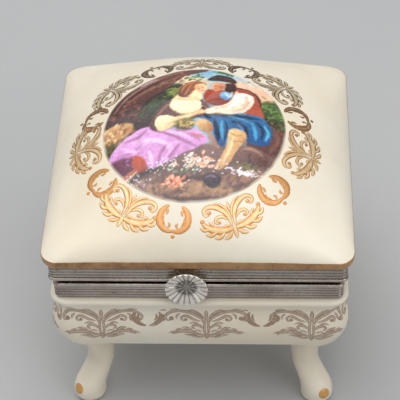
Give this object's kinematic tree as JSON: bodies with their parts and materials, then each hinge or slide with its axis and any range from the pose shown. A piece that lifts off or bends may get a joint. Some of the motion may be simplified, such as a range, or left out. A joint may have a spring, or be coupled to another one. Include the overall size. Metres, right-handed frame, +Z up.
{
  "type": "hinged porcelain trinket box",
  "caption": "Square porcelain trinket box on four cabriole legs, with a domed hinged lid, reeded metal mounts and a sprung fluted clasp.",
  "frame": {"origin": "on the floor, under the middle of the box", "axes": "+Z up, the clasp faces -Y, the hinge is at +Y, +X is to the right of the clasp"},
  "size_m": [0.086, 0.0886, 0.0838],
  "materials": {
    "porcelain": "ivory glaze, slightly yellowed, with faint specks",
    "plated_mount": "nickel-plated mount, dulled, with a polished lip",
    "cement": "dry plaster bedding under the mounts",
    "gilding": "worn fired gold on the rim, feet and scrollwork",
    "painted_panel": "printed and fired picture of a seated couple under the glaze"
  },
  "bodies": {
    "base": {"body_bowl": "porcelain", "base_rim_band": "plated_mount", "base_mount_cement": "cement", "hinge_leaf_base": "plated_mount", "hinge_pin": "plated_mount", "catch_bar": "plated_mount", "leg_front_right": "porcelain", "leg_rear_right": "porcelain", "leg_rear_left": "porcelain", "leg_front_left": "porcelain"},
    "lid": {"lid_shell": "porcelain", "lid_rim_band": "plated_mount", "lid_mount_cement": "cement", "hinge_leaf_lid": "plated_mount"},
    "clasp": {"clasp_spring": "plated_mount", "clasp_dish": "plated_mount", "clasp_rivet": "plated_mount"}
  },
  "joints": [
    {"name": "lid_hinge", "type": "hinge", "parent": "base", "child": "lid", "pos_m": [0, 0.043, 0.05335], "axis": [-1, 0, 0], "range_deg": [0, 100]},
    {"name": "clasp_flex", "type": "hinge", "parent": "lid", "child": "clasp", "pos_m": [-0.003, -0.04155, 0.0594], "axis": [-1, 0, 0], "range_deg": [0, 6], "stiffness_Nm_per_rad": 0.05}
  ]
}
